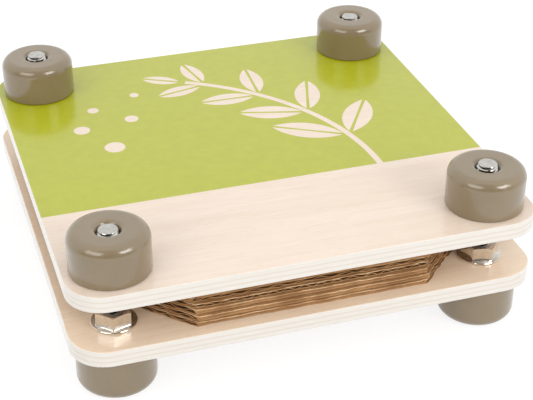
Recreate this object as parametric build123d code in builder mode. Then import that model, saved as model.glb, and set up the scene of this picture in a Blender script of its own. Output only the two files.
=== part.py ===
"""Flower press: two plywood boards, screwed down by four knobs onto a stack of corrugated cards.

The origin is on the floor under the middle of the boards. X runs along the front edge to the right,
Y runs to the back, and Z is up. All lengths are in millimetres.
"""
import math
import os

from build123d import *

os.makedirs("parts", exist_ok=True)

# Boards
board_width = 180.0
board_depth = 180.0
board_thickness = 6.6
board_corner_radius = 14.0
board_edge_radius = 0.4
bolt_inset = 17.7

# Feet
foot_diameter = 30.0
foot_height = 18.7
foot_rounding = 4.0
foot_top_rounding = 0.5

# Knobs
knob_diameter = 30.0
knob_height = 16.3
knob_rounding = 4.0
knob_base_rounding = 0.8
knob_mouth_rounding = 2.1

# Bolts, fully threaded
thread_diameter = 8.0
thread_pitch = 1.25
thread_depth = 0.7
thread_crest_share = 0.125
thread_root_share = 0.25
bolt_head_flats = 13.0
bolt_head_height = 5.3
bolt_head_recess = 0.2

# Flange nuts
nut_flats = 13.0
nut_height = 6.6
nut_flange_diameter = 17.0
nut_flange_rim = 0.9
nut_flange_slope = 0.35
nut_chamfer_angle = 30.0

# Tee nuts inside the knobs
tee_flange_diameter = 20.0
tee_flange_thickness = 1.4
tee_barrel_diameter = 10.4
tee_barrel_height = 11.0
tee_prong_count = 4
tee_prong_width = 2.4
tee_prong_thickness = 1.2
tee_prong_length = 5.0
tee_prong_inset = 2.0

# Corrugated cards
card_count = 7
card_margin = 5.0
card_thickness = 2.2
card_liner = 0.25
card_medium = 0.25
flute_pitch = 6.2
flute_glue_width = 0.8
flute_wave_points = 7

# Blotting paper
sheet_thickness = 0.26
sheet_inset = 3.0

# Clearances
bolt_hole_clearance = 0.5
knob_hole_clearance = 0.25
thread_clearance = 0.06
head_pocket_clearance = 0.5
card_nut_clearance = 1.85
cut_overrun = 2.0

# How far and how much the loose sheets lie out of line in the stack
stack_shift = 1.0
stack_turn = 0.35

# Share of the shift to the right and to the back, and of the turn, for each card from the bottom,
# repeated in a taller stack
card_stray_shares = (
    (0.6, -0.3, 0.0),
    (0.7, -0.4, 0.6),
    (0.2, 0.2, -0.5),
    (-0.5, 0.6, 0.8),
    (-0.9, 0.9, -1.0),
    (0.4, -0.3, 0.5),
    (-0.3, 0.4, -0.4),
)
# The same for each blotting sheet
sheet_stray_shares = (
    (-0.2, 0.3, 0.4),
    (0.5, 0.2, -0.6),
    (-0.4, -0.2, 0.3),
    (-0.3, 0.1, 0.6),
    (0.3, 0.5, -0.3),
    (-0.1, -0.4, 0.5),
)
# Cards whose flutes run from the front to the back, counted from the bottom
cards_fluted_to_front = (4, 5)

# Turn of each corner's nut, in degrees
nut_turns = {"front_left": 16.0, "front_right": 44.5, "back_left": 5.0, "back_right": 30.0}

# Height of each corner's bolt end above its knob; the feet's pockets are bored to suit
bolt_end_rises = {"front_left": -0.25, "front_right": 0.9, "back_left": 0.85, "back_right": -0.3}

# Places worked out from the sizes above
bolt_x = board_width / 2 - bolt_inset
bolt_y = board_depth / 2 - bolt_inset
corners = {
    "front_left": (-bolt_x, -bolt_y),
    "front_right": (bolt_x, -bolt_y),
    "back_left": (-bolt_x, bolt_y),
    "back_right": (bolt_x, bolt_y),
}
thread_radius = thread_diameter / 2
bolt_hole_radius = thread_radius + bolt_hole_clearance
bottom_board_top = foot_height + board_thickness
stack_pitch = card_thickness + sheet_thickness
stack_height = card_count * card_thickness + (card_count - 1) * sheet_thickness
top_board_base = bottom_board_top + stack_height
knob_base = top_board_base + board_thickness
knob_top = knob_base + knob_height
lowest_seat = bolt_head_height + bolt_head_recess
bolt_length = knob_top + min(bolt_end_rises.values()) - lowest_seat
bolt_seats = {corner: knob_top + rise - bolt_length for corner, rise in bolt_end_rises.items()}
card_reach = max(board_width, board_depth) / 2
tee_prong_circle_radius = tee_flange_diameter / 2 - tee_prong_inset
flute_count = 2 * math.ceil(card_reach / flute_pitch) + 1


def upright(x, y, z):
    """Vertical drawing plane through a corner's axis: its x is outward from the axis, its y is up."""
    return Plane(origin=(x, y, z), x_dir=(1, 0, 0), z_dir=(0, -1, 0))


def make_board(base):
    """Plywood plate with rounded corners, softened edges and a hole for each bolt."""
    with BuildPart() as board:
        with BuildSketch(Plane.XY.offset(base)):
            RectangleRounded(board_width, board_depth, board_corner_radius)
            with GridLocations(2 * bolt_x, 2 * bolt_y, 2, 2):
                Circle(bolt_hole_radius, mode=Mode.SUBTRACT)
        extrude(amount=board_thickness)
        rims = [face.outer_wire().edges() for face in board.faces().filter_by(Plane.XY)]
        fillet([edge for rim in rims for edge in rim], radius=board_edge_radius)
    return board.part


def make_foot(x, y, seat):
    """Turned foot, rounded at the floor, with a pocket from below up to the seat of the bolt's head."""
    pocket_radius = bolt_head_flats / math.sqrt(3) + head_pocket_clearance
    with BuildPart() as foot:
        with BuildSketch(Plane((x, y, 0))):
            Circle(foot_diameter / 2)
        extrude(amount=foot_height)
        fillet(foot.edges().group_by(Axis.Z)[0], radius=foot_rounding)
        fillet(foot.edges().group_by(Axis.Z)[-1], radius=foot_top_rounding)
        with BuildSketch(Plane((x, y, 0))):
            Circle(bolt_hole_radius)
        extrude(amount=foot_height, mode=Mode.SUBTRACT)
        with BuildSketch(Plane((x, y, 0))):
            Circle(pocket_radius)
        extrude(amount=seat, mode=Mode.SUBTRACT)
    return foot.part


def make_bolt(x, y, seat):
    """Hexagon bolt, threaded from its head to its chamfered end, drawn with one ridge per pitch."""
    root_radius = thread_radius - thread_depth
    flank_share = (1 - thread_crest_share - thread_root_share) / 2
    ridge_count = math.floor((bolt_length - thread_depth) / thread_pitch)
    outline = [(0, 0), (root_radius, 0)]
    for ridge in reversed(range(ridge_count)):
        crest_top = bolt_length - thread_depth - ridge * thread_pitch
        crest_base = crest_top - thread_pitch * thread_crest_share
        outline.append((root_radius, crest_base - thread_pitch * flank_share))
        outline.append((thread_radius, crest_base))
        outline.append((thread_radius, crest_top))
        if ridge:
            outline.append((root_radius, crest_top + thread_pitch * flank_share))
    outline += [(root_radius, bolt_length), (0, bolt_length)]
    with BuildPart() as bolt:
        with BuildSketch(Plane((x, y, seat - bolt_head_height))):
            RegularPolygon(bolt_head_flats / 2, side_count=6, major_radius=False)
        extrude(amount=bolt_head_height)
        with BuildSketch(upright(x, y, seat)):
            with BuildLine():
                Polyline(*outline, close=True)
            make_face()
        revolve(axis=Axis((x, y, 0), (0, 0, 1)))
    return bolt.part


def make_flange_nut(x, y, turn):
    """Hexagon nut on a sloping round flange, with its upper corners turned off."""
    bore_radius = thread_radius + thread_clearance
    flange_radius = nut_flange_diameter / 2
    crown_radius = nut_flats / 2
    crown_drop = (flange_radius - crown_radius) * math.tan(math.radians(nut_chamfer_angle))
    slope_top = nut_flange_rim + nut_flange_slope
    flange_outline = [
        (0, 0),
        (flange_radius, 0),
        (flange_radius, nut_flange_rim),
        (crown_radius, slope_top),
        (0, slope_top),
    ]
    envelope_outline = [
        (0, 0),
        (flange_radius, 0),
        (flange_radius, nut_height - crown_drop),
        (crown_radius, nut_height),
        (0, nut_height),
    ]
    with BuildPart() as nut:
        with BuildSketch(Plane((x, y, bottom_board_top))):
            RegularPolygon(nut_flats / 2, side_count=6, major_radius=False, rotation=turn)
        extrude(amount=nut_height)
        for outline, mode in ((flange_outline, Mode.ADD), (envelope_outline, Mode.INTERSECT)):
            with BuildSketch(upright(x, y, bottom_board_top)):
                with BuildLine():
                    Polyline(*outline, close=True)
                make_face()
            revolve(axis=Axis((x, y, 0), (0, 0, 1)), mode=mode)
        with BuildSketch(Plane((x, y, bottom_board_top))):
            Circle(bore_radius)
        extrude(amount=nut_height, mode=Mode.SUBTRACT)
    return nut.part


def make_tee_nut(x, y):
    """Tee nut: a flange flush with the knob's underside, a threaded barrel and prongs in the wood."""
    seat = Plane((x, y, knob_base))
    with BuildPart(seat) as tee_nut:
        with BuildSketch(seat):
            Circle(tee_flange_diameter / 2)
        extrude(amount=tee_flange_thickness)
        with BuildSketch(seat):
            Circle(tee_barrel_diameter / 2)
        extrude(amount=tee_barrel_height)
        with PolarLocations(tee_prong_circle_radius, tee_prong_count):
            Box(
                tee_prong_thickness,
                tee_prong_width,
                tee_flange_thickness + tee_prong_length,
                align=(Align.CENTER, Align.CENTER, Align.MIN),
            )
        with BuildSketch(seat):
            Circle(thread_radius + thread_clearance)
        extrude(amount=tee_barrel_height, mode=Mode.SUBTRACT)
    return tee_nut.part


def make_knob(x, y, tee_nut):
    """Turned knob with a rounded shoulder, a rounded hole for the bolt's end and its tee nut's seat."""
    seat = Plane((x, y, knob_base))
    with BuildPart() as knob:
        with BuildSketch(seat):
            Circle(knob_diameter / 2)
        extrude(amount=knob_height)
        fillet(knob.edges().group_by(Axis.Z)[-1], radius=knob_rounding)
        fillet(knob.edges().group_by(Axis.Z)[0], radius=knob_base_rounding)
        with BuildSketch(seat):
            Circle(thread_radius + knob_hole_clearance)
        extrude(amount=knob_height, mode=Mode.SUBTRACT)
        mouth = knob.edges().group_by(Axis.Z)[-1].sort_by(SortBy.RADIUS)[0]
        fillet(mouth, radius=knob_mouth_rounding)
        add(tee_nut, mode=Mode.SUBTRACT)
    return knob.part


def stray_plane(base, shares):
    """Level plane at a loose sheet's underside, shifted and turned by that sheet's shares."""
    right_share, back_share, turn_share = shares
    turn = math.radians(stack_turn * turn_share)
    return Plane(
        origin=(stack_shift * right_share, stack_shift * back_share, base),
        x_dir=(math.cos(turn), math.sin(turn), 0),
        z_dir=(0, 0, 1),
    )


def octagon_points(inset):
    """Corners of a card's outline, drawn in from the boards' edges and cut clear of the nuts."""
    half_width = board_width / 2 - card_margin
    half_depth = board_depth / 2 - card_margin
    nut_room = math.sqrt(2) * (nut_flange_diameter / 2 + card_nut_clearance)
    cut = half_width + half_depth - (bolt_x + bolt_y - nut_room)
    right, back = half_width - inset, half_depth - inset
    cut -= (2 - math.sqrt(2)) * inset
    return [
        (right - cut, -back),
        (right, cut - back),
        (right, back - cut),
        (right - cut, back),
        (cut - right, back),
        (-right, back - cut),
        (-right, cut - back),
        (cut - right, -back),
    ]


def flute_outline(side):
    """Cross-section of one hollow flute, above (side 1) or below (side -1) a card's wavy inner layer."""
    low = card_liner
    high = card_thickness - card_liner
    wave_height = (high - low - card_medium) / 2
    wall = high if side > 0 else low
    reach = (flute_pitch - flute_glue_width) / 2
    outline = [(-reach, wall)]
    for point in range(1, flute_wave_points + 1):
        across_share = point / (flute_wave_points + 1) - 1 / 2
        rise = card_medium / 2 - wave_height * math.cos(2 * math.pi * across_share)
        outline.append((flute_pitch * across_share, (low + high) / 2 + side * rise))
    outline.append((reach, wall))
    return outline


def make_card(number):
    """Single-wall corrugated card, its flutes hollow and open where its edges cut them."""
    shares = card_stray_shares[(number - 1) % len(card_stray_shares)]
    plane = stray_plane(bottom_board_top + (number - 1) * stack_pitch, shares)
    to_front = number in cards_fluted_to_front
    flute_direction = plane.y_dir if to_front else plane.x_dir
    across = plane.x_dir if to_front else -plane.y_dir
    section = Plane(origin=plane.origin, x_dir=across, z_dir=-flute_direction)
    with BuildPart() as card:
        with BuildSketch(plane):
            with BuildLine():
                Polyline(*octagon_points(0), close=True)
            make_face()
        extrude(amount=card_thickness)
        with BuildSketch(section):
            with GridLocations(flute_pitch, 0, flute_count, 1):
                Polygon(*flute_outline(1), align=None)
            with GridLocations(flute_pitch, 0, flute_count + 1, 1):
                Polygon(*flute_outline(-1), align=None)
        extrude(amount=card_reach + cut_overrun, both=True, mode=Mode.SUBTRACT)
    return card.part


def make_blotting_sheet(number):
    """Sheet of blotting paper, a little smaller than the cards that it lies between."""
    shares = sheet_stray_shares[(number - 1) % len(sheet_stray_shares)]
    base = bottom_board_top + number * stack_pitch - sheet_thickness
    with BuildPart() as sheet:
        with BuildSketch(stray_plane(base, shares)):
            with BuildLine():
                Polyline(*octagon_points(sheet_inset), close=True)
            make_face()
        extrude(amount=sheet_thickness)
    return sheet.part


pieces = {
    "bottom_board": make_board(foot_height),
    "top_board": make_board(top_board_base),
}
for corner, (x, y) in corners.items():
    pieces[f"foot_{corner}"] = make_foot(x, y, bolt_seats[corner])
    pieces[f"bolt_{corner}"] = make_bolt(x, y, bolt_seats[corner])
    pieces[f"flange_nut_{corner}"] = make_flange_nut(x, y, nut_turns[corner])
    pieces[f"tee_nut_{corner}"] = make_tee_nut(x, y)
    pieces[f"knob_{corner}"] = make_knob(x, y, pieces[f"tee_nut_{corner}"])
for number in range(1, card_count + 1):
    pieces[f"corrugated_card_{number}"] = make_card(number)
for number in range(1, card_count):
    pieces[f"blotting_sheet_{number}"] = make_blotting_sheet(number)

for name, piece in pieces.items():
    piece.label = name
    export_step(piece, f"parts/{name}.step")
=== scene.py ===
"""Looks of the flower press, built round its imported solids.

Lengths are in metres, in the solids' own frame: X to the right along the front edge, Y to the back, Z up.
"""
import math

import bmesh
import bpy
from mathutils import Matrix, Vector, geometry, noise


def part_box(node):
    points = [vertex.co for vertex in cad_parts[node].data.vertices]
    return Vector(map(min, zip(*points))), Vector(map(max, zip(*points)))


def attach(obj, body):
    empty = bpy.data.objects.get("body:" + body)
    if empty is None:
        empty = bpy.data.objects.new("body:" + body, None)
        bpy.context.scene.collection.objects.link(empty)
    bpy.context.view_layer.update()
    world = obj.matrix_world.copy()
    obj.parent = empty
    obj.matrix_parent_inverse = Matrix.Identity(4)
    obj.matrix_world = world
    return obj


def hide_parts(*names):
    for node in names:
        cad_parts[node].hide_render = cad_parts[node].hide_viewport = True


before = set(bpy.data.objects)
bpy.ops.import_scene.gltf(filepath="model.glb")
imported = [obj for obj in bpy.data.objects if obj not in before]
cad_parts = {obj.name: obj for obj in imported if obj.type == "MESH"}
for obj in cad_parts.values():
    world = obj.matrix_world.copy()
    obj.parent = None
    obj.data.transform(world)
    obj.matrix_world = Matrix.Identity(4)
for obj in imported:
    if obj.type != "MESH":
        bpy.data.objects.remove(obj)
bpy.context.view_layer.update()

card_count = 7
cards_fluted_to_front = (4, 5)
nut_turns = {"front_left": 16.0, "front_right": 44.5, "back_left": 5.0, "back_right": 30.0}

# Camera, solved from the outlines in the photograph
image_width = 533
focal_length_pixels = 1365.8
sensor_width_mm = 36.0
camera_place = (-0.14292, -0.46777, 0.32014)
camera_azimuth = -17.98
camera_elevation = 31.44
camera_roll = 0.19

# Studio: two soft boxes in front, a white floor and a pale surround, darker in front where gloss sees it
softboxes = (
    {"azimuth": -56.0, "width": 0.85, "height": 0.6, "power": 4.4},
    {"azimuth": 33.0, "width": 0.6, "height": 0.48, "power": 5.8},
)
softbox_elevation = 24.0
highlight_elevation = 40.0
softbox_distance = 1.3
ambient_horizon = 0.46
ambient_rise = 0.68
front_share = 0.12
front_start = 0.0
front_full = 0.5
floor_size = 8.0
floor_glow = 0.83

# Print on the top board: a lime field behind a bare strip, with a leafy sprig and seeds left bare in it
print_front = -0.0325
ink_edge = 0.00008
sprig_foot = (0.046, -0.0325)
sprig_radius = 0.105
sprig_turn = 62.0
sprig_stem_width = 0.0026
sprig_pairs = 4
sprig_tip_share = 0.35
leaf_angle = 46.0
leaf_length = 0.031
leaf_width_share = 0.4
leaf_gap = 0.0022
leaf_taper_share = 0.42
midrib_width = 0.0011
seeds = (
    (-0.052, 0.012, 0.0042),
    (-0.062, 0.030, 0.0034),
    (-0.040, 0.034, 0.0029),
    (-0.054, 0.046, 0.0024),
    (-0.034, 0.055, 0.0020),
)

# Plywood and its print: heights of the thin cross plies, and noise features per metre along each axis
cross_ply_shares = (0.34, 0.66)
cross_ply_thickness = 0.0006
ply_wobble = 0.0002
figure_features = (9, 120, 120)
streak_features = (22, 420, 420)
fibre_features = (60, 2600, 2600)
fleck_features = (260, 2400, 2400)
veneer_cloud_features = 70
ply_wobble_features = 90
ply_layer_features = (160, 160, 3200)
ink_edge_features = 900
ink_mottle_features = 220

# Other surfaces: noise features per metre
paint_cloud_features = 60
paint_peel_features = 900
paint_haze_features = 300
zinc_cloud_features = 500
zinc_scratch_features = (900, 900, 9000)
zinc_speck_features = 1500
kraft_cloud_features = 120
kraft_fibre_features = 700
kraft_speck_features = 1500
paper_felt_features = 900
floor_cloud_features = 40

# Ramps: the values between which something comes in, and where they aren't 0 and 1, its least and its most
middle_ramp = (0.3, 0.7)
veneer_figure_ramp = (0.36, 0.66)
veneer_streak_ramp = (0.4, 0.7, 0.0, 0.25)
veneer_fibre_ramp = (0.3, 0.75, 0.0, 0.35)
veneer_fleck_ramp = (0.62, 0.72, 0.0, 0.22)
veneer_roughness_ramp = (0.2, 0.8, 0.45, 0.55)
veneer_level_ramp = (0.72, 0.9)
ink_upward_ramp = (0.6, 0.8)
ink_fibre_ramp = (0.4, 0.8, 0.0, 0.25)
paint_roughness_ramp = (0.3, 0.7, 0.35, 0.45)
zinc_upward_ramp = (0.95, 0.99)
zinc_speck_ramp = (0.45, 0.62)
zinc_roughness_ramp = (0.7, 1.3, 0.08, 0.14)
kraft_cut_ramp = (0.35, 0.65)
kraft_level_ramp = (0.3, 0.6)
kraft_fibre_ramp = (0.4, 0.75, 0.0, 0.35)
kraft_speck_ramp = (0.68, 0.76, 0.0, 0.45)

# Shares of one tone in another, and the zinc's added roughness on flat ends
cloud_tone_share = 0.25
figure_tone_share = 0.75
cross_ply_share = 0.6
zinc_speck_share = 0.3
zinc_end_roughness = 0.25

# Fine relief: strength and depth
veneer_bump = (0.1, 0.0001)
paint_bump = (0.05, 0.0001)
zinc_bump = (0.05, 0.00002)
kraft_bump = (0.35, 0.0001)
paper_bump = (0.3, 0.0001)

# Gloss: a clear coat over a duller surface, and the roughness of the matt surfaces
base_specular = 0.2
lacquer_ior = 1.65
lacquer_roughness = 0.16
paint_coat_ior = 1.7
paint_coat_roughness = 0.17
kraft_roughness = 0.85
paper_roughness = 0.95
floor_roughness = 0.9

# Threads, nuts and bolts
thread_pitch = 0.00125
thread_depth = 0.0007
thread_steps = 64
thread_profile_shares = ((0.0, 0.0), (0.3125, 1.0), (0.4375, 1.0), (0.75, 0.0))
thread_crest_share = 0.375
thread_shaded_rows = (0, 3)
thread_front_share = 0.7
thread_first_crest = 0.00125
thread_radius = 0.004
hex_flats = 0.013
hex_steps = 16
hex_corner_share = 0.985
hex_chamfer_angle = 30.0
nut_rim = 0.0009
nut_slope = 0.00035
rim_rounding = 0.00014
bore_chamfer = 0.0005
bolt_head_height = 0.0053
bolt_point_height = 0.00055
bolt_point_radius = 0.0036
bolt_point_chamfer = 0.0002

# Corrugated cards: thin paper layers, crushed and frayed where they are cut
liner_thickness = 0.00034
medium_thickness = 0.00024
medium_inset = 0.0003
# How far in from the cut a face counts as lit; faces deeper in take painted shade
lit_depth = 0.0003
drawn_share = 0.5
flute_pitch = 0.0062
flute_steps = 8
flute_start_shares = (0.05, -0.12, 0.16, 0.3, 0.55, -0.06, 0.2)
flute_collapse_share = 0.25
flute_lean = 1.3
wall_reach = 0.001
wall_spread = 0.6
wall_grain = 0.007
wall_blend = 0.0015
wall_step = 0.0003
wall_steps = 8
wall_lit_depth = 0.0013
rim_step = 0.0009
middle_rows = 18
near_edge = (0.0, 0.0004, 0.0012, 0.0025, 0.005, 0.012)
crush_depth = 0.0004
crush_reach = 0.004
crush_grains = (0.016, 0.004)
fray_depth = 0.0011
fray_reach = 0.0016
fray_grains = (0.0022, 0.006, 0.018)
side_wear_share = 0.6
corner_blend = 0.006
squeeze_share = 0.45
coarse_squeeze_share = 0.8
fine_squeeze_share = 0.4

# Seeds that set apart the random shapes of cards, of their sides and layers, and of the blotting sheets
crush_card_seed = 7.3
crush_side_seed = 3.1
collapse_seed = 5.7
lean_seed = 2.9
wall_seed = 4.1
medium_seed = 0.3
top_liner_seed = 0.6
paper_seed = 20

# Mesh finish and small limits
weld_distance = 0.000001
sharp_angle = 34.0
parallel_limit = 0.000001


def linear(value):
    """A colour value from 0 to 255 in the linear form that shaders take."""
    share = value / 255
    return share / 12.92 if share <= 0.04045 else ((share + 0.055) / 1.055) ** 2.4


def srgb(red, green, blue):
    """An opaque colour, written as the usual 0 to 255 values."""
    return linear(red), linear(green), linear(blue), 1.0


# Colours
white = (1.0, 1.0, 1.0, 1.0)
floor_grey = srgb(203, 203, 203)
floor_pale = srgb(207, 207, 207)
floor_shade = srgb(128, 128, 128)
top_veneer = {"pale": srgb(241, 224, 208), "figure": srgb(237, 218, 200), "fibre": srgb(222, 199, 176)}
# Painted light: the bottom board's birch is paler and warmer than the top board's, standing in for light
# lost in the top board's shade
bottom_veneer_painted_light = {"pale": srgb(251, 231, 206), "figure": srgb(248, 225, 198), "fibre": srgb(233, 206, 176)}
veneer_fleck = srgb(206, 172, 140)
ply_pale = srgb(233, 228, 220)
ply_streak = srgb(228, 221, 211)
ply_cross = srgb(216, 203, 187)
lime = srgb(175, 179, 4)
lime_bright = srgb(181, 185, 10)
lime_fibre = srgb(165, 169, 3)
taupe_dark = srgb(129, 112, 84)
taupe_pale = srgb(134, 117, 89)
zinc_pale = srgb(213, 211, 206)
zinc_dark = srgb(193, 190, 184)
nut_pale = srgb(240, 235, 227)
nut_dark = srgb(222, 217, 208)
zinc_speck = srgb(158, 156, 151)
# Painted shade: a darker copy of the zinc for the thread's roots and downward flanks
groove_painted_shade_pale = srgb(124, 121, 115)
groove_painted_shade_dark = srgb(100, 97, 92)
kraft_pale = srgb(184, 140, 92)
kraft_dark = srgb(162, 118, 74)
kraft_fibre = srgb(138, 97, 59)
kraft_speck = srgb(102, 70, 43)
kraft_cut = srgb(236, 204, 162)
# Darker kraft: the waved sheet's own paper, and painted shade on the bottom liner, which is the same paper
# as the top liner
wall_pale_and_painted_shade = srgb(166, 123, 79)
wall_dark_and_painted_shade = srgb(138, 98, 60)
# Painted shade: dark kraft on a card's inner faces that light from the cut doesn't reach
inside_painted_shade_pale = srgb(114, 77, 43)
inside_painted_shade_dark = srgb(88, 57, 29)
paper_pale = srgb(230, 220, 198)
paper_felt = srgb(214, 201, 176)


class Graph:
    """A material's node tree: each call adds a node and gives back its output."""

    def __init__(self, tree):
        self.tree = tree

    def put(self, socket, value):
        """Links a socket to another node's output, or sets it to a plain value."""
        if isinstance(value, bpy.types.NodeSocket):
            self.tree.links.new(value, socket)
        else:
            socket.default_value = value

    def node(self, kind, inputs=None, **settings):
        """Adds a node of that kind, with its settings and inputs."""
        added = self.tree.nodes.new("ShaderNode" + kind)
        for name, value in settings.items():
            setattr(added, name, value)
        for key, value in (inputs or {}).items():
            self.put(added.inputs[key], value)
        return added

    def math(self, operation, *values):
        """Works out a number."""
        added = self.node("Math", operation=operation)
        for socket, value in zip(added.inputs, values):
            self.put(socket, value)
        return added.outputs[0]

    def vector(self, operation, *values, output="Vector"):
        """Works out a vector, or a number by the output's name Value."""
        added = self.node("VectorMath", operation=operation)
        for socket, value in zip(added.inputs, values):
            self.put(socket, value)
        return added.outputs[output]

    def split(self, vector):
        """The three parts of a vector, by the names X, Y and Z."""
        return self.node("SeparateXYZ", {"Vector": vector}).outputs

    def mix(self, share, first, second):
        """Blends two colours."""
        added = self.node("Mix", {0: share, 6: first, 7: second}, data_type="RGBA")
        return added.outputs[2]

    def blend(self, share, first, second):
        """Blends two numbers."""
        return self.node("Mix", {0: share, 2: first, 3: second}, data_type="FLOAT").outputs[0]

    def step(self, value, low, high, start=0.0, end=1.0):
        """Eases from start to end as a value goes from low to high."""
        inputs = {"Value": value, "From Min": low, "From Max": high, "To Min": start, "To Max": end}
        return self.node("MapRange", inputs, interpolation_type="SMOOTHSTEP").outputs[0]

    def noise(self, place, features, detail=3.0, roughness=0.55):
        """Soft random values about 0.5, with a number of features per metre along each axis."""
        along = features if isinstance(features, tuple) else (features, features, features)
        stretched = self.node("Mapping", {"Vector": place, "Scale": along}).outputs[0]
        inputs = {"Vector": stretched, "Scale": 1.0, "Detail": detail, "Roughness": roughness}
        return self.node("TexNoise", inputs).outputs[0]

    def bump(self, height, strength, distance):
        """Normals of a fine relief."""
        inputs = {"Height": height, "Strength": strength, "Distance": distance}
        return self.node("Bump", inputs).outputs[0]


def new_material(name):
    """A material with an empty node tree, its graph and the object's own coordinates."""
    material = bpy.data.materials.new(name)
    material.use_nodes = True
    material.node_tree.nodes.clear()
    graph = Graph(material.node_tree)
    place = graph.node("TexCoord").outputs["Object"]
    return material, graph, place


def finish_material(graph, **inputs):
    """Ends a graph in a principled surface; an underscore in a name stands for a space."""
    named = {key.replace("_", " "): value for key, value in inputs.items()}
    surface = graph.node("BsdfPrincipled", named)
    output = graph.node("OutputMaterial")
    graph.put(output.inputs[0], surface.outputs[0])


def stem_point(share):
    """Point on the sprig's curved stem and its direction there, from 0 at the foot to 1 at the tip."""
    turn = math.radians(sprig_turn * share)
    centre = Vector(sprig_foot) - Vector((sprig_radius, 0))
    return centre + sprig_radius * Vector((math.cos(turn), math.sin(turn))), turn + math.pi / 2


def sprig_leaves():
    """Root, direction and length of each leaf, in pairs up the stem and one at its tip."""
    leaves = []
    for pair in range(1, sprig_pairs + 1):
        root, heading = stem_point(pair / (sprig_pairs + sprig_tip_share))
        length = leaf_length * (1 - leaf_taper_share * (pair - 1) / sprig_pairs)
        for side in (-1, 1):
            leaves.append((root, heading + side * math.radians(leaf_angle), length))
    tip, heading = stem_point(1)
    leaves.append((tip, heading, leaf_length * (1 - leaf_taper_share)))
    return leaves


def leaf_field(graph, flat, root, heading, length):
    """Below zero inside a pointed leaf, where two circles overlap, and above it on the midrib."""
    axis = Vector((math.cos(heading), math.sin(heading)))
    across = Vector((-axis.y, axis.x))
    half_length = length / 2
    half_width = half_length * leaf_width_share
    radius = (half_length ** 2 + half_width ** 2) / (2 * half_width)
    middle = root + axis * (leaf_gap + half_length)
    centres = [middle + across * side * (radius - half_width) for side in (-1, 1)]
    reaches = [graph.vector("DISTANCE", flat, (*centre, 0), output="Value") for centre in centres]
    outside = graph.math("SUBTRACT", graph.math("MAXIMUM", *reaches), radius)
    off_rib = graph.math("ABSOLUTE", graph.math("SUBTRACT", *reaches))
    on_rib = graph.math("SUBTRACT", midrib_width, off_rib)
    return graph.math("MAXIMUM", outside, on_rib)


def sprig_field(graph, flat):
    """Below zero where the sprig and its seeds leave the wood bare."""
    stem_centre = (sprig_foot[0] - sprig_radius, sprig_foot[1], 0)
    from_centre = graph.vector("SUBTRACT", flat, stem_centre)
    reach = graph.vector("LENGTH", from_centre, output="Value")
    off_stem = graph.math("ABSOLUTE", graph.math("SUBTRACT", reach, sprig_radius))
    field = graph.math("SUBTRACT", off_stem, sprig_stem_width / 2)
    tip = math.radians(sprig_turn)
    for beyond in ((-math.sin(tip), math.cos(tip), 0), (0, -1, 0), (-1, 0, 0)):
        outside = graph.vector("DOT_PRODUCT", from_centre, beyond, output="Value")
        field = graph.math("MAXIMUM", field, outside)
    for leaf in sprig_leaves():
        field = graph.math("MINIMUM", field, leaf_field(graph, flat, *leaf))
    for x, y, radius in seeds:
        reach = graph.vector("DISTANCE", flat, (x, y, 0), output="Value")
        field = graph.math("MINIMUM", field, graph.math("SUBTRACT", reach, radius))
    return field


def print_mask(graph, place, upward):
    """Where the lime ink lies: behind its front line, on the upper face and off the sprig."""
    parts = graph.split(place)
    flat = graph.node("CombineXYZ", {"X": parts["X"], "Y": parts["Y"]}).outputs[0]
    behind = graph.math("SUBTRACT", parts["Y"], print_front)
    inside = graph.math("MINIMUM", sprig_field(graph, flat), behind)
    ragged = graph.math("MULTIPLY_ADD", graph.noise(place, ink_edge_features, detail=2.0), ink_edge, inside)
    return graph.math("MULTIPLY", graph.step(ragged, 0.0, ink_edge), graph.step(upward, *ink_upward_ramp))


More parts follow.
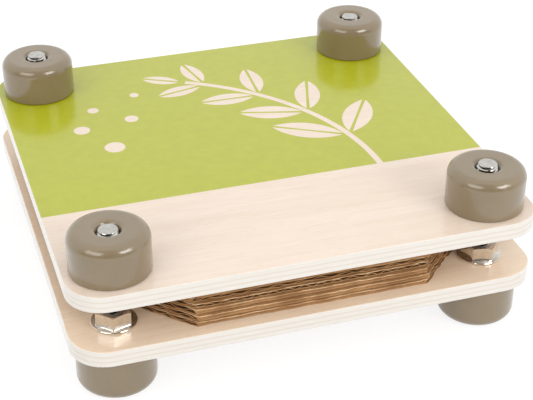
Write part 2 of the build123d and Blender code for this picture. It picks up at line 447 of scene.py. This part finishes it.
def plywood_material(name, node, tones, printed):
    """Lacquered birch plywood: fine grain along X on its faces, thin cross plies on its edges."""
    material, graph, place = new_material(name)
    low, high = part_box(node)
    thickness = high.z - low.z
    facing = graph.split(graph.node("NewGeometry").outputs["Normal"])
    level = graph.math("ABSOLUTE", facing["Z"])

    # Veneer: broad figure, soft clouds, streaks, fine fibres and short flecks
    figure = graph.noise(place, figure_features, detail=4.0, roughness=0.6)
    cloud = graph.noise(place, veneer_cloud_features, detail=3.0)
    streak = graph.noise(place, streak_features, detail=3.0, roughness=0.6)
    fibre = graph.noise(place, fibre_features, detail=3.0, roughness=0.6)
    fleck = graph.noise(place, fleck_features, detail=1.0)
    broad = graph.math("MULTIPLY", figure, figure_tone_share)
    tone = graph.math("MULTIPLY_ADD", cloud, cloud_tone_share, broad)
    veneer = graph.mix(graph.step(tone, *veneer_figure_ramp), tones["pale"], tones["figure"])
    veneer = graph.mix(graph.step(streak, *veneer_streak_ramp), veneer, tones["fibre"])
    veneer = graph.mix(graph.step(fibre, *veneer_fibre_ramp), veneer, tones["fibre"])
    veneer = graph.mix(graph.step(fleck, *veneer_fleck_ramp), veneer, veneer_fleck)

    # Edge: pale plies and the thin cross plies between them
    waver = graph.noise(place, ply_wobble_features, detail=2.0)
    wobble = graph.math("MULTIPLY_ADD", waver, ply_wobble, -low.z - ply_wobble / 2)
    height = graph.math("ADD", graph.split(place)["Z"], wobble)
    cross = 0.0
    for share in cross_ply_shares:
        off_ply = graph.math("ABSOLUTE", graph.math("SUBTRACT", height, share * thickness))
        on_ply = graph.step(off_ply, 0.0, cross_ply_thickness, 1.0, 0.0)
        cross = graph.math("MAXIMUM", cross, on_ply)
    layer = graph.noise(place, ply_layer_features, detail=3.0, roughness=0.6)
    edge = graph.mix(graph.step(layer, *middle_ramp), ply_pale, ply_streak)
    edge = graph.mix(graph.math("MULTIPLY", cross, cross_ply_share), edge, ply_cross)
    colour = graph.mix(graph.step(level, *veneer_level_ramp), edge, veneer)

    if printed:
        inked = print_mask(graph, place, facing["Z"])
        mottle = graph.noise(place, ink_mottle_features, detail=4.0, roughness=0.65)
        ink = graph.mix(graph.step(mottle, *middle_ramp), lime, lime_bright)
        ink = graph.mix(graph.step(fibre, *ink_fibre_ramp), ink, lime_fibre)
        colour = graph.mix(inked, colour, ink)
    relief = graph.math("SUBTRACT", fibre, fleck)
    roughness = graph.step(fibre, *veneer_roughness_ramp)
    normal = graph.bump(relief, *veneer_bump)
    finish_material(graph, Base_Color=colour, Roughness=roughness, Normal=normal,
                    Specular_IOR_Level=base_specular, Coat_Weight=1.0, Coat_IOR=lacquer_ior,
                    Coat_Roughness=lacquer_roughness)
    return material


def paint_material():
    """Glossy taupe paint on turned wood, with a faint orange peel."""
    material, graph, place = new_material("taupe_paint")
    cloud = graph.noise(place, paint_cloud_features, detail=3.0)
    colour = graph.mix(graph.step(cloud, *middle_ramp), taupe_dark, taupe_pale)
    peel = graph.noise(place, paint_peel_features, detail=2.0)
    haze = graph.noise(place, paint_haze_features, detail=3.0)
    roughness = graph.step(haze, *paint_roughness_ramp)
    normal = graph.bump(peel, *paint_bump)
    finish_material(graph, Base_Color=colour, Roughness=roughness, Normal=normal,
                    Specular_IOR_Level=base_specular, Coat_Weight=1.0, Coat_IOR=paint_coat_ior,
                    Coat_Roughness=paint_coat_roughness)
    return material


def steel_material(name, pale, dark):
    """Zinc plate on steel: finely scratched, and speckled on the flat ends that face up."""
    material, graph, place = new_material(name)
    facing = graph.split(graph.node("NewGeometry").outputs["Normal"])
    upward = graph.step(facing["Z"], *zinc_upward_ramp)
    cloud = graph.noise(place, zinc_cloud_features, detail=4.0, roughness=0.6)
    scratch = graph.noise(place, zinc_scratch_features, detail=2.0, roughness=0.6)
    grain = graph.noise(place, zinc_speck_features, detail=2.0, roughness=0.7)
    speck = graph.step(grain, *zinc_speck_ramp)
    colour = graph.mix(graph.step(cloud, *middle_ramp), pale, dark)
    speckled = graph.math("MULTIPLY", speck, graph.math("MULTIPLY", upward, zinc_speck_share))
    colour = graph.mix(speckled, colour, zinc_speck)
    polish = graph.step(graph.math("ADD", cloud, scratch), *zinc_roughness_ramp)
    roughness = graph.math("MULTIPLY_ADD", upward, zinc_end_roughness, polish)
    normal = graph.bump(graph.math("MULTIPLY_ADD", speck, upward, scratch), *zinc_bump)
    finish_material(graph, Base_Color=colour, Metallic=1.0, Roughness=roughness, Normal=normal)
    return material


def kraft_material(name, pale, dark, cut):
    """Kraft paper: brown with fibres and specks, and another shade where it is cut."""
    material, graph, place = new_material(name)
    level = graph.math("ABSOLUTE", graph.split(graph.node("NewGeometry").outputs["True Normal"])["Z"])
    cloud = graph.noise(place, kraft_cloud_features, detail=4.0, roughness=0.6)
    fibre = graph.noise(place, kraft_fibre_features, detail=3.0, roughness=0.6)
    speck = graph.noise(place, kraft_speck_features, detail=1.0)
    colour = graph.mix(graph.step(cloud, *middle_ramp), pale, dark)
    edge = graph.mix(graph.step(cloud, *kraft_cut_ramp), cut, pale)
    colour = graph.mix(graph.step(level, *kraft_level_ramp), edge, colour)
    colour = graph.mix(graph.step(fibre, *kraft_fibre_ramp), colour, kraft_fibre)
    colour = graph.mix(graph.step(speck, *kraft_speck_ramp), colour, kraft_speck)
    normal = graph.bump(fibre, *kraft_bump)
    finish_material(graph, Base_Color=colour, Roughness=kraft_roughness, Normal=normal)
    return material


def paper_material():
    """Soft off-white blotting paper with a felted surface."""
    material, graph, place = new_material("blotting_paper")
    felt = graph.noise(place, paper_felt_features, detail=4.0, roughness=0.7)
    colour = graph.mix(graph.step(felt, *middle_ramp), paper_pale, paper_felt)
    normal = graph.bump(felt, *paper_bump)
    finish_material(graph, Base_Color=colour, Roughness=paper_roughness, Normal=normal)
    return material


def dress(node, material):
    """Gives a solid's object its material."""
    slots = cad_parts[node].data.materials
    slots.clear()
    slots.append(material)


class Shell:
    """Vertices and faces of a piece, gathered part by part, each face with the number of its material."""

    def __init__(self):
        self.vertices = []
        self.faces = []
        self.materials = []

    def add(self, vertices, faces, materials=None):
        """Adds a part, in the first material where none are given."""
        shift = len(self.vertices)
        self.vertices += vertices
        self.faces += [tuple(index + shift for index in face) for face in faces]
        self.materials += materials or [0] * len(faces)


def add_piece(name, shell, materials, body, replaced):
    """Makes a piece of a closed shell, which rides on a body and stands for a solid."""
    mesh = bpy.data.meshes.new(name)
    mesh.from_pydata(shell.vertices, [], shell.faces)
    for material in materials:
        mesh.materials.append(material)
    mesh.polygons.foreach_set("material_index", shell.materials)
    builder = bmesh.new()
    builder.from_mesh(mesh)
    bmesh.ops.remove_doubles(builder, verts=builder.verts, dist=weld_distance)
    bmesh.ops.recalc_face_normals(builder, faces=builder.faces)
    builder.to_mesh(mesh)
    builder.free()
    mesh.polygons.foreach_set("use_smooth", [True] * len(mesh.polygons))
    mesh.set_sharp_from_angle(angle=math.radians(sharp_angle))
    piece = bpy.data.objects.new(name, mesh)
    bpy.context.scene.collection.objects.link(piece)
    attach(piece, body)
    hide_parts(replaced)


def axis_of(node):
    """Middle of a node's box, seen from above."""
    low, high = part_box(node)
    return Vector(((low.x + high.x) / 2, (low.y + high.y) / 2))


def round_points(middle, steps, radius_and_height):
    """A ring of vertices about an axis; the radius and height are given for each angle."""
    points = []
    for step in range(steps):
        angle = 2 * math.pi * step / steps
        radius, height = radius_and_height(angle)
        points.append((middle.x + radius * math.cos(angle), middle.y + radius * math.sin(angle), height))
    return points


def hex_radius(angle, turn):
    """Distance from the axis to the side of a hexagon with blunt corners, one of them at a turn."""
    sixth = math.pi / 3
    off_middle = (angle - turn) % sixth - sixth / 2
    return min(hex_flats / 2 / math.cos(off_middle), hex_flats / math.sqrt(3) * hex_corner_share)


def add_hex_form(shell, middle, turn, rings):
    """Adds a form about an axis; each ring takes the hexagon's radius and gives a radius and a height."""
    steps = 6 * hex_steps
    vertices, faces = [], []
    for ring in rings:
        vertices += round_points(Vector(), steps, lambda angle: ring(hex_radius(angle, 0.0)))
    turned = Matrix.Translation((*middle, 0)) @ Matrix.Rotation(turn, 4, "Z")
    for row in range(len(rings) - 1):
        for step in range(steps):
            here, after = row * steps + step, row * steps + (step + 1) % steps
            faces.append((here, after, after + steps, here + steps))
    shell.add([tuple(turned @ Vector(vertex)) for vertex in vertices], faces)


def chamfer_drop(hexagon):
    """How far the turned chamfer at a hexagon's end has come down where it meets the wall."""
    return (hexagon - hex_flats / 2) * math.tan(math.radians(hex_chamfer_angle))


def make_nut(corner, material):
    """Hexagon nut on a low round flange with a softened rim, and a chamfered bore."""
    node = f"flange_nut_{corner}"
    low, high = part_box(node)
    flange = (high.x - low.x) / 2
    crown = hex_flats / 2
    base, top = low.z, high.z

    def flange_top(radius):
        return base + nut_rim + nut_slope * (flange - radius) / (flange - crown)

    rings = [
        lambda hexagon: (thread_radius, base),
        lambda hexagon: (flange - rim_rounding, base),
        lambda hexagon: (flange, base + rim_rounding),
        lambda hexagon: (flange, base + nut_rim - rim_rounding),
        lambda hexagon: (flange - rim_rounding, flange_top(flange - rim_rounding)),
        lambda hexagon: (hexagon + rim_rounding, flange_top(hexagon + rim_rounding)),
        lambda hexagon: (hexagon, flange_top(hexagon) + rim_rounding),
        lambda hexagon: (hexagon, top - chamfer_drop(hexagon)),
        lambda hexagon: (crown, top),
        lambda hexagon: (thread_radius + bore_chamfer, top),
        lambda hexagon: (thread_radius, top - bore_chamfer),
        lambda hexagon: (thread_radius, base),
    ]
    shell = Shell()
    add_hex_form(shell, axis_of(node), math.radians(nut_turns[corner]), rings)
    add_piece(f"hex_flange_nut_{corner}", shell, [material], "base", node)


def add_thread(shell, middle, seat, end):
    """Adds a rolled helical thread from a bolt's head up to the plain chamfered point at its end. Its
    roots, downward flanks and the ring under the point take the second material, a darker zinc that is
    painted shade.
    """
    root = thread_radius - thread_depth
    run_out = end - bolt_point_height
    turns = math.ceil((end - seat) / thread_pitch) + 1
    turns_down = thread_crest_share + thread_front_share + turns
    first_start = end - thread_first_crest - turns_down * thread_pitch
    per_turn = len(thread_profile_shares)
    rows = (turns + 3) * per_turn
    vertices, faces, materials = [], [], []
    for row in range(rows):
        rise_share, crest_share = thread_profile_shares[row % per_turn]
        start = first_start + (row // per_turn + rise_share) * thread_pitch

        def radius_and_height(angle):
            height = min(max(start + thread_pitch * angle / (2 * math.pi), seat), run_out)
            return root + min(thread_depth * crest_share, run_out - height, height - seat), height

        vertices += round_points(middle, thread_steps, radius_and_height)
    for row in range(rows - 1):
        for step in range(thread_steps):
            here = row * thread_steps + step
            above = here + thread_steps
            if step + 1 < thread_steps:
                faces.append((here, here + 1, above + 1, above))
            elif row + per_turn + 1 < rows:
                wrapped = (row + per_turn) * thread_steps
                faces.append((here, wrapped, wrapped + thread_steps, above))
        # The roots and downward flanks take painted shade, the darker zinc
        shade = int(row % per_turn in thread_shaded_rows)
        materials += [shade] * (len(faces) - len(materials))
    point = [
        (root, run_out),
        (bolt_point_radius, run_out + bolt_point_radius - root),
        (bolt_point_radius, end - bolt_point_chamfer),
        (bolt_point_radius - bolt_point_chamfer, end),
    ]
    first = len(vertices)
    for radius, height in point + [(root, seat)]:
        vertices += round_points(middle, thread_steps, lambda angle: (radius, height))
    for ring in range(len(point) - 1):
        ring_start = first + ring * thread_steps
        for step in range(thread_steps):
            here, after = ring_start + step, ring_start + (step + 1) % thread_steps
            faces.append((here, after, after + thread_steps, here + thread_steps))
        # The ring under the point takes the same painted shade
        materials += [int(ring == 0)] * thread_steps
    for ring in (len(point) - 1, len(point)):
        faces.append(tuple(first + ring * thread_steps + step for step in range(thread_steps)))
    materials += [0] * (len(faces) - len(materials))
    shell.add(vertices, faces, materials)


def make_bolt(corner, materials):
    """Fully threaded bolt with a plain point, and a hexagon head in its foot."""
    node = f"bolt_{corner}"
    low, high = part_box(node)
    seat = low.z + bolt_head_height
    rings = [
        lambda hexagon: (0.0, low.z),
        lambda hexagon: (hex_flats / 2, low.z),
        lambda hexagon: (hexagon, low.z + chamfer_drop(hexagon)),
        lambda hexagon: (hexagon, seat),
        lambda hexagon: (0.0, seat),
    ]
    shell = Shell()
    add_thread(shell, axis_of(node), seat, high.z)
    add_hex_form(shell, axis_of(node), 0.0, rings)
    add_piece(f"hex_bolt_{corner}", shell, materials, "base", node)


class Outline:
    """A sheet's cut outline: its middle, the directions along and across its flutes, its eight walls."""

    def __init__(self, node, to_front):
        points = [vertex.co.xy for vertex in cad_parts[node].data.vertices]
        hull = [points[index] for index in geometry.convex_hull_2d(points)]
        runs = [(start + end, end - start) for start, end in zip(hull, hull[1:] + hull[:1])]
        longest = sorted(runs, key=lambda run: run[1].length)[-4:]
        front = min(longest, key=lambda run: run[0].y)[1].normalized()
        right = front if front.x > 0 else -front
        back = Vector((-right.y, right.x))
        self.middle = axis_of(node)
        self.along, self.across = (back, -right) if to_front else (right, back)
        self.walls = []
        for eighth in range(8):
            angle = math.pi * eighth / 4
            outward = right * math.cos(angle) + back * math.sin(angle)
            self.walls.append((outward, max(outward.dot(point - self.middle) for point in hull)))
        self.half_width = max(abs((point - self.middle).dot(self.across)) for point in hull)
        corners = self.corners(0.0)
        lengths = [(end - start).length for start, end in zip(corners, corners[1:] + corners[:1])]
        self.counts = [math.ceil(length / rim_step) for length in lengths]

    def corners(self, inset):
        """Corners of the outline, drawn in by an inset."""
        found = []
        next_walls = self.walls[1:] + self.walls[:1]
        for (first, first_reach), (second, second_reach) in zip(self.walls, next_walls):
            turn = first.x * second.y - first.y * second.x
            near, far = first_reach - inset, second_reach - inset
            found.append(Vector((near * second.y - far * first.y, far * first.x - near * second.x)) / turn)
        return found

    def ring(self, inset):
        """Points round the outline at an inset, evenly spread along each side."""
        corners = self.corners(inset)
        points = []
        for start, end, count in zip(corners, corners[1:] + corners[:1], self.counts):
            points += [start.lerp(end, number / count) for number in range(count)]
        return points

    def span(self, across):
        """Ends of the line along the flutes at a distance across them."""
        ends = [-1.0, 1.0]
        for outward, reach in self.walls:
            rate = outward.dot(self.along)
            room = reach - across * outward.dot(self.across)
            if rate > parallel_limit:
                ends[1] = min(ends[1], room / rate)
            elif rate < -parallel_limit:
                ends[0] = max(ends[0], room / rate)
        return ends

    def depth(self, point):
        """Distance in from the nearest wall."""
        return max(0.0, min(reach - outward.dot(point) for outward, reach in self.walls))

    def corner_share(self, point):
        """From 0 near the straight sides to 1 near the cut corners."""
        depths = [reach - outward.dot(point) for outward, reach in self.walls]
        return min(max(0.5 + (min(depths[0::2]) - min(depths[1::2])) / corner_blend, 0.0), 1.0)

    def wear(self, point):
        """How worn the edge is near a point: less along the straight sides than at the cut corners."""
        return side_wear_share + (1 - side_wear_share) * self.corner_share(point)


def eased(share):
    """Eases from 0 to 1 as a share does."""
    share = min(max(share, 0.0), 1.0)
    return share * share * (3 - 2 * share)


def random_at(point, grain, seed):
    """A smooth random value between about -1 and 1 at a point of a sheet."""
    return noise.noise(Vector((point.x / grain, point.y / grain, seed)))


def tear_at(outline, point, inset, seed):
    """How far the cut edge is torn in at a point, from 0 to 1, fading with the distance from the cut."""
    roughness = sum(random_at(point, grain, seed) for grain in fray_grains)
    torn = min(max(0.5 + 0.5 * roughness, 0.0), 1.0)
    return torn * outline.wear(point) * max(0.0, 1 - inset / fray_reach)


def flat_sheet(outline, heights, seed, drawn=None):
    """A thin closed sheet: drawn in and torn at its rim, shaped by the heights near it, and level inside.

    Gives its vertices and faces, and each face's side with whether light reaches it from the cut.
    """
    lows, highs = [], []
    for inset in near_edge:
        for point, torn in zip(outline.ring(inset), outline.ring(inset + fray_depth)):
            tear = tear_at(outline, point, inset, seed)
            if drawn:
                tear += (1 - tear) * drawn(point) * max(0.0, 1 - inset / fray_reach)
            place = outline.middle + point.lerp(torn, tear)
            low, high = heights(point, inset)
            lows.append((place.x, place.y, low))
            highs.append((place.x, place.y, high))
    count = sum(outline.counts)
    total = len(lows)
    faces, sides = [], []
    for here in range(total - count):
        after = here + 1 if (here + 1) % count else here + 1 - count
        for side, shift in (("low", 0), ("high", total)):
            faces.append(tuple(index + shift for index in (here, after, after + count, here + count)))
            sides.append((side, near_edge[here // count] < lit_depth))
    for here in range(count):
        after = (here + 1) % count
        faces.append((here, after, after + total, here + total))
        sides.append(("rim", True))
    for side, shift in (("low", 0), ("high", total)):
        faces.append(tuple(range(total - count + shift, total + shift)))
        sides.append((side, False))
    return lows + highs, faces, sides


def waved_sheet(outline, heights, seed):
    """A thin closed sheet in columns along the flutes, at the heights given for each point.

    Gives its vertices and faces, and each face's side with whether light reaches it from the cut.
    """
    reach = outline.half_width - medium_inset
    outer = [reach - wall_step * step for step in range(wall_steps)]
    inner = reach - wall_step * wall_steps
    inner_count = 2 * math.ceil(inner / flute_pitch * flute_steps) + 1
    columns = [-across for across in outer]
    columns += [inner * (2 * number / (inner_count - 1) - 1) for number in range(inner_count)]
    columns += reversed(outer)
    lows, highs, lit = [], [], []
    for across in columns:
        start, end = outline.span(across)
        length = end - start
        rows = [start + inset for inset in near_edge]
        rows += [start + near_edge[-1] + (length - 2 * near_edge[-1]) * row / (middle_rows + 1)
                 for row in range(1, middle_rows + 1)]
        rows += [end - inset for inset in reversed(near_edge)]
        for along in rows:
            point = outline.along * along + outline.across * across
            from_end = min(along - start, end - along)
            from_side = reach - abs(across)
            torn = fray_depth * tear_at(outline, point, from_end, seed)
            drawn = fray_depth * tear_at(outline, point, from_side, seed)
            place = outline.middle + point
            place += outline.along * math.copysign(torn, (start + end) / 2 - along)
            place += outline.across * math.copysign(drawn, -across)
            lit.append(from_end < lit_depth or from_side < wall_lit_depth)
            low, high = heights(point, outline.depth(point), across)
            lows.append((place.x, place.y, low))
            highs.append((place.x, place.y, high))
    count = len(rows)
    total = len(lows)
    faces, sides = [], []
    column_count = len(columns)
    for column in range(column_count - 1):
        for row in range(count - 1):
            here = column * count + row
            corners = (here, here + 1, here + count + 1, here + count)
            for side, shift in (("low", 0), ("high", total)):
                faces.append(tuple(index + shift for index in corners))
                sides.append((side, any(lit[index] for index in corners)))
    rim = [column * count for column in range(column_count)]
    rim += range((column_count - 1) * count + 1, column_count * count)
    rim += [column * count + count - 1 for column in reversed(range(column_count - 1))]
    rim += reversed(range(1, count - 1))
    for here, after in zip(rim, rim[1:] + rim[:1]):
        faces.append((here, after, after + total, here + total))
        sides.append(("rim", True))
    return lows + highs, faces, sides


def make_card(number, materials):
    """Corrugated card: two liners and a waved sheet between them, crushed and frayed where it is cut."""
    node = f"corrugated_card_{number}"
    low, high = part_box(node)
    outline = Outline(node, number in cards_fluted_to_front)
    start_share = flute_start_shares[number - 1]

    def near(depth):
        """From 1 at the cut to 0 where the crushing ends."""
        return max(0.0, 1 - depth / crush_reach) ** 2

    def faces_at(point, depth):
        """Heights of the card's lower and upper face, squeezed together near the cut."""
        most = crush_depth * near(depth) * outline.wear(point)
        squeezes = []
        for side in (0, 1):
            seed = crush_card_seed * number + crush_side_seed * side
            coarse, fine = (random_at(point, grain, seed) for grain in crush_grains)
            squeeze = squeeze_share + coarse_squeeze_share * coarse + fine_squeeze_share * fine
            squeezes.append(most * max(0.0, squeeze))
        return low.z + squeezes[0], high.z - squeezes[1]

    def bottom_liner(point, depth):
        base = faces_at(point, depth)[0]
        return base, base + liner_thickness

    def top_liner(point, depth):
        top = faces_at(point, depth)[1]
        return top - liner_thickness, top

    def bottom_drawn(point):
        """How far the bottom liner is drawn in: along the straight sides."""
        return drawn_share * (1 - outline.corner_share(point))

    def top_drawn(point):
        """How far the top liner is drawn in: at the cut corners."""
        return drawn_share * outline.corner_share(point)

    def medium(point, depth, across):
        """Heights of the waved sheet's two faces; a wall closes the card along the flutes."""
        base, top = faces_at(point, depth)
        room = (top - base) / 2 - liner_thickness - medium_thickness / 2
        fallen = max(0.0, random_at(point, flute_pitch, collapse_seed * number))
        collapse = flute_collapse_share * near(depth) * fallen
        lean = flute_lean * near(depth) * random_at(point, 2 * flute_pitch, lean_seed * number)
        turns = (across + outline.half_width) / flute_pitch + start_share + 0.5
        wave = (1 - collapse) * math.cos(2 * math.pi * turns + lean)
        from_side = outline.half_width - medium_inset - abs(across)
        rise = wall_reach * (1 + wall_spread * random_at(point, wall_grain, wall_seed * number))
        wall = 2 * eased(from_side / rise) - 1
        shape = wall + (wave - wall) * eased((from_side - rise) / wall_blend)
        middle = (top + base) / 2 + room * shape
        return middle - medium_thickness / 2, middle + medium_thickness / 2

    shell = Shell()
    # Material 1 on the bottom liner is painted shade, darker than the top liner's kraft
    layers = (
        (flat_sheet(outline, bottom_liner, number, bottom_drawn), ("high",), 1),
        (waved_sheet(outline, medium, number + medium_seed), ("low", "high"), 1),
        (flat_sheet(outline, top_liner, number + top_liner_seed, top_drawn), ("low",), 0),
    )
    # Inner faces that light from the cut doesn't reach take material 2, which is painted shade
    for (vertices, faces, sides), inner_sides, outer_shade in layers:
        shades = [2 if side in inner_sides and not lit else outer_shade for side, lit in sides]
        shell.add(vertices, faces, shades)
    add_piece(f"corrugated_board_{number}", shell, materials, node, node)


def make_sheet(number, material):
    """Blotting sheet with soft, slightly uneven edges."""
    node = f"blotting_sheet_{number}"
    low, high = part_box(node)
    outline = Outline(node, False)
    vertices, faces, _ = flat_sheet(outline, lambda point, depth: (low.z, high.z), number + paper_seed)
    shell = Shell()
    shell.add(vertices, faces)
    add_piece(f"blotting_paper_{number}", shell, [material], node, node)


def look_matrix(azimuth, elevation, roll=0.0):
    """Turn of a camera or lamp at an azimuth and elevation that looks back, and the direction behind it."""
    azimuth, elevation, roll = (math.radians(angle) for angle in (azimuth, elevation, roll))
    level = math.cos(elevation)
    back = Vector((math.sin(azimuth) * level, -math.cos(azimuth) * level, math.sin(elevation)))
    right = Vector((0, 0, 1)).cross(back).normalized()
    up = back.cross(right)
    rolled_right = right * math.cos(roll) + up * math.sin(roll)
    rolled_up = up * math.cos(roll) - right * math.sin(roll)
    rows = (rolled_right, rolled_up, back)
    return Matrix(rows).transposed().to_4x4(), back


def make_camera():
    """A camera where the photograph was taken from."""
    data = bpy.data.cameras.new("camera")
    data.sensor_width = sensor_width_mm
    data.lens = focal_length_pixels / image_width * sensor_width_mm
    camera = bpy.data.objects.new("camera", data)
    turn = look_matrix(camera_azimuth, camera_elevation, camera_roll)[0]
    camera.matrix_world = Matrix.Translation(camera_place) @ turn
    bpy.context.scene.collection.objects.link(camera)
    bpy.context.scene.camera = camera


def make_softbox(name, softbox, elevation):
    """A soft rectangular lamp in front of the press, which looks at its foot."""
    data = bpy.data.lights.new(name, "AREA")
    data.shape = "RECTANGLE"
    data.size = softbox["width"]
    data.size_y = softbox["height"]
    data.energy = softbox["power"]
    lamp = bpy.data.objects.new(name, data)
    turn, back = look_matrix(softbox["azimuth"], elevation)
    lamp.matrix_world = Matrix.Translation(back * softbox_distance) @ turn
    lamp.visible_camera = False
    bpy.context.scene.collection.objects.link(lamp)
    return lamp


def make_softboxes():
    """Lamps for the light itself, and others above them for highlights, which the boards don't mirror."""
    boards = bpy.data.collections.new("boards_without_highlights")
    for node in ("bottom_board", "top_board"):
        boards.objects.link(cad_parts[node])
    for entry in boards.collection_objects:
        entry.light_linking.link_state = "EXCLUDE"
    for number, softbox in enumerate(softboxes):
        lamp = make_softbox(f"softbox_{number}", softbox, softbox_elevation)
        lamp.visible_glossy = False
        highlight = make_softbox(f"highlight_{number}", softbox, highlight_elevation)
        highlight.visible_diffuse = False
        highlight.light_linking.receiver_collection = boards


def make_world():
    """Pale light, stronger from above; the camera sees white, and gloss a room that is darker in front."""
    world = bpy.data.worlds.new("studio")
    bpy.context.scene.world = world
    world.use_nodes = True
    world.node_tree.nodes.clear()
    graph = Graph(world.node_tree)
    direction = graph.node("TexCoord").outputs["Generated"]
    rise = graph.split(direction)["Z"]
    front = look_matrix(camera_azimuth, 0.0)[1]
    frontal = graph.vector("DOT_PRODUCT", direction, tuple(front), output="Value")
    paths = graph.node("LightPath").outputs
    mirrored = graph.math("MAXIMUM", paths["Is Glossy Ray"], paths["Is Transmission Ray"])
    ambient = graph.math("MULTIPLY_ADD", graph.math("MAXIMUM", rise, 0.0), ambient_rise, ambient_horizon)
    seen = graph.step(frontal, front_start, front_full, 1.0, front_share)
    strength = graph.math("MAXIMUM", graph.blend(mirrored, ambient, seen), paths["Is Camera Ray"])
    background = graph.node("Background", {"Color": white, "Strength": strength})
    graph.put(graph.node("OutputWorld").inputs[0], background.outputs[0])


def make_floor():
    """White floor that keeps a faint shadow; a glow for the camera and for gloss lifts it to white."""
    bpy.ops.mesh.primitive_plane_add(size=floor_size)
    floor = bpy.context.object
    floor.name = "floor"
    material, graph, place = new_material("floor_paper")
    paths = graph.node("LightPath").outputs
    mirrored = graph.math("MAXIMUM", paths["Is Glossy Ray"], paths["Is Transmission Ray"])
    shown = graph.math("MAXIMUM", paths["Is Camera Ray"], mirrored)
    paper = graph.mix(graph.noise(place, floor_cloud_features, detail=2.0), floor_grey, floor_pale)
    colour = graph.mix(shown, paper, floor_shade)
    glow = graph.math("MULTIPLY", shown, floor_glow)
    finish_material(graph, Base_Color=colour, Roughness=floor_roughness, Emission_Color=white,
                    Emission_Strength=glow)
    floor.data.materials.append(material)


bpy.context.scene.view_settings.view_transform = "Standard"
make_camera()
make_world()
make_softboxes()
make_floor()

# The bottom board's veneer tones carry painted light
dress("bottom_board", plywood_material("birch_plywood", "bottom_board", bottom_veneer_painted_light, False))
dress("top_board", plywood_material("printed_plywood", "top_board", top_veneer, True))
taupe = paint_material()
zinc = steel_material("zinc_plate", zinc_pale, zinc_dark)
# Darker zinc: painted shade in the bolts' thread grooves
painted_groove_shade = steel_material("zinc_painted_groove_shade", groove_painted_shade_pale, groove_painted_shade_dark)
bright_zinc = steel_material("bright_zinc", nut_pale, nut_dark)
for corner in nut_turns:
    dress(f"knob_{corner}", taupe)
    dress(f"foot_{corner}", taupe)
    dress(f"tee_nut_{corner}", zinc)
    make_bolt(corner, [zinc, painted_groove_shade])
    make_nut(corner, bright_zinc)
kraft_layers = [
    kraft_material("kraft_paper", kraft_pale, kraft_dark, kraft_cut),
    # Darker kraft: the waved sheet's paper, and painted shade on the bottom liner
    kraft_material("kraft_walls_and_painted_shade", wall_pale_and_painted_shade, wall_dark_and_painted_shade, kraft_pale),
    # Painted shade for the inner faces that light from the cut doesn't reach
    kraft_material("kraft_painted_shade_inside", inside_painted_shade_pale, inside_painted_shade_dark, inside_painted_shade_pale),
]
for number in range(1, card_count + 1):
    make_card(number, kraft_layers)
paper = paper_material()
for number in range(1, card_count):
    make_sheet(number, paper)
